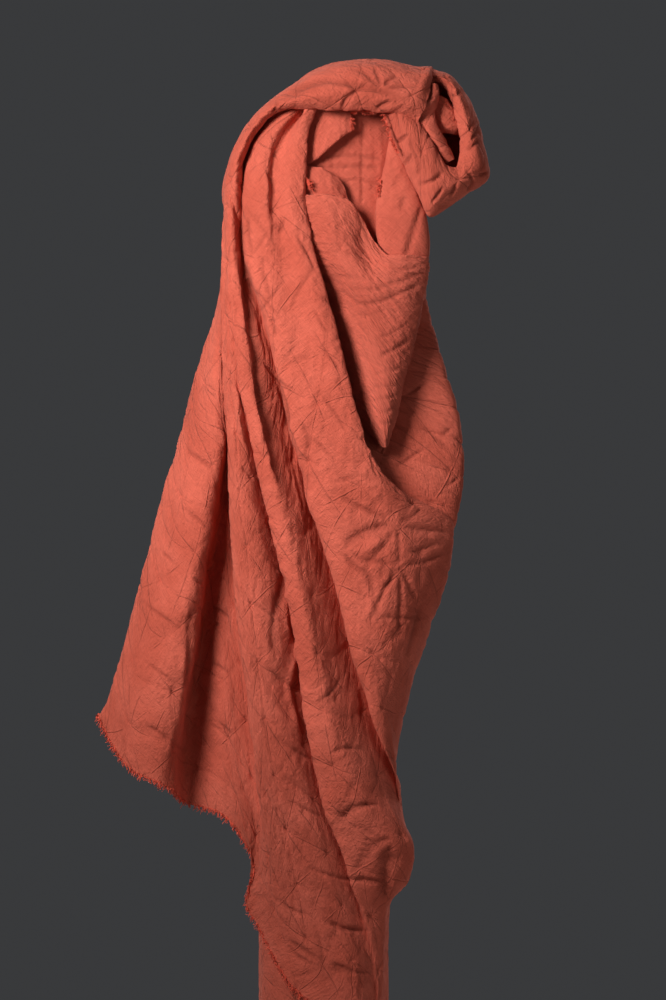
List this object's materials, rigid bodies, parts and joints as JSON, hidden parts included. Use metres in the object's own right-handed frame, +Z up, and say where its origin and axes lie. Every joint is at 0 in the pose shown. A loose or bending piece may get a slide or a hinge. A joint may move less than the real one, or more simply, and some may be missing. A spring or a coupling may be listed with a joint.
{
  "type": "folded jacquard fabric",
  "caption": "Standing roll of quilted coral jacquard cloth, its loose end pulled over the top as a hood and hanging in long slanting folds with a frayed lower edge.",
  "frame": {"origin": "middle of the roll's flat foot, on the surface that it stands on", "axes": "+Z up along the roll, -Y to the front where the hood is open, +X to the viewer's right"},
  "size_m": [0.3899, 0.2281, 1.4397],
  "materials": {
    "roll_cloth": "matte woven cotton with sunken quilt lines",
    "loose_cloth": "matte woven cotton with sunken quilt lines and frayed cut edges"
  },
  "bodies": {
    "root": {"cloth_roll": "roll_cloth", "draped_end": "loose_cloth"}
  },
  "joints": []
}
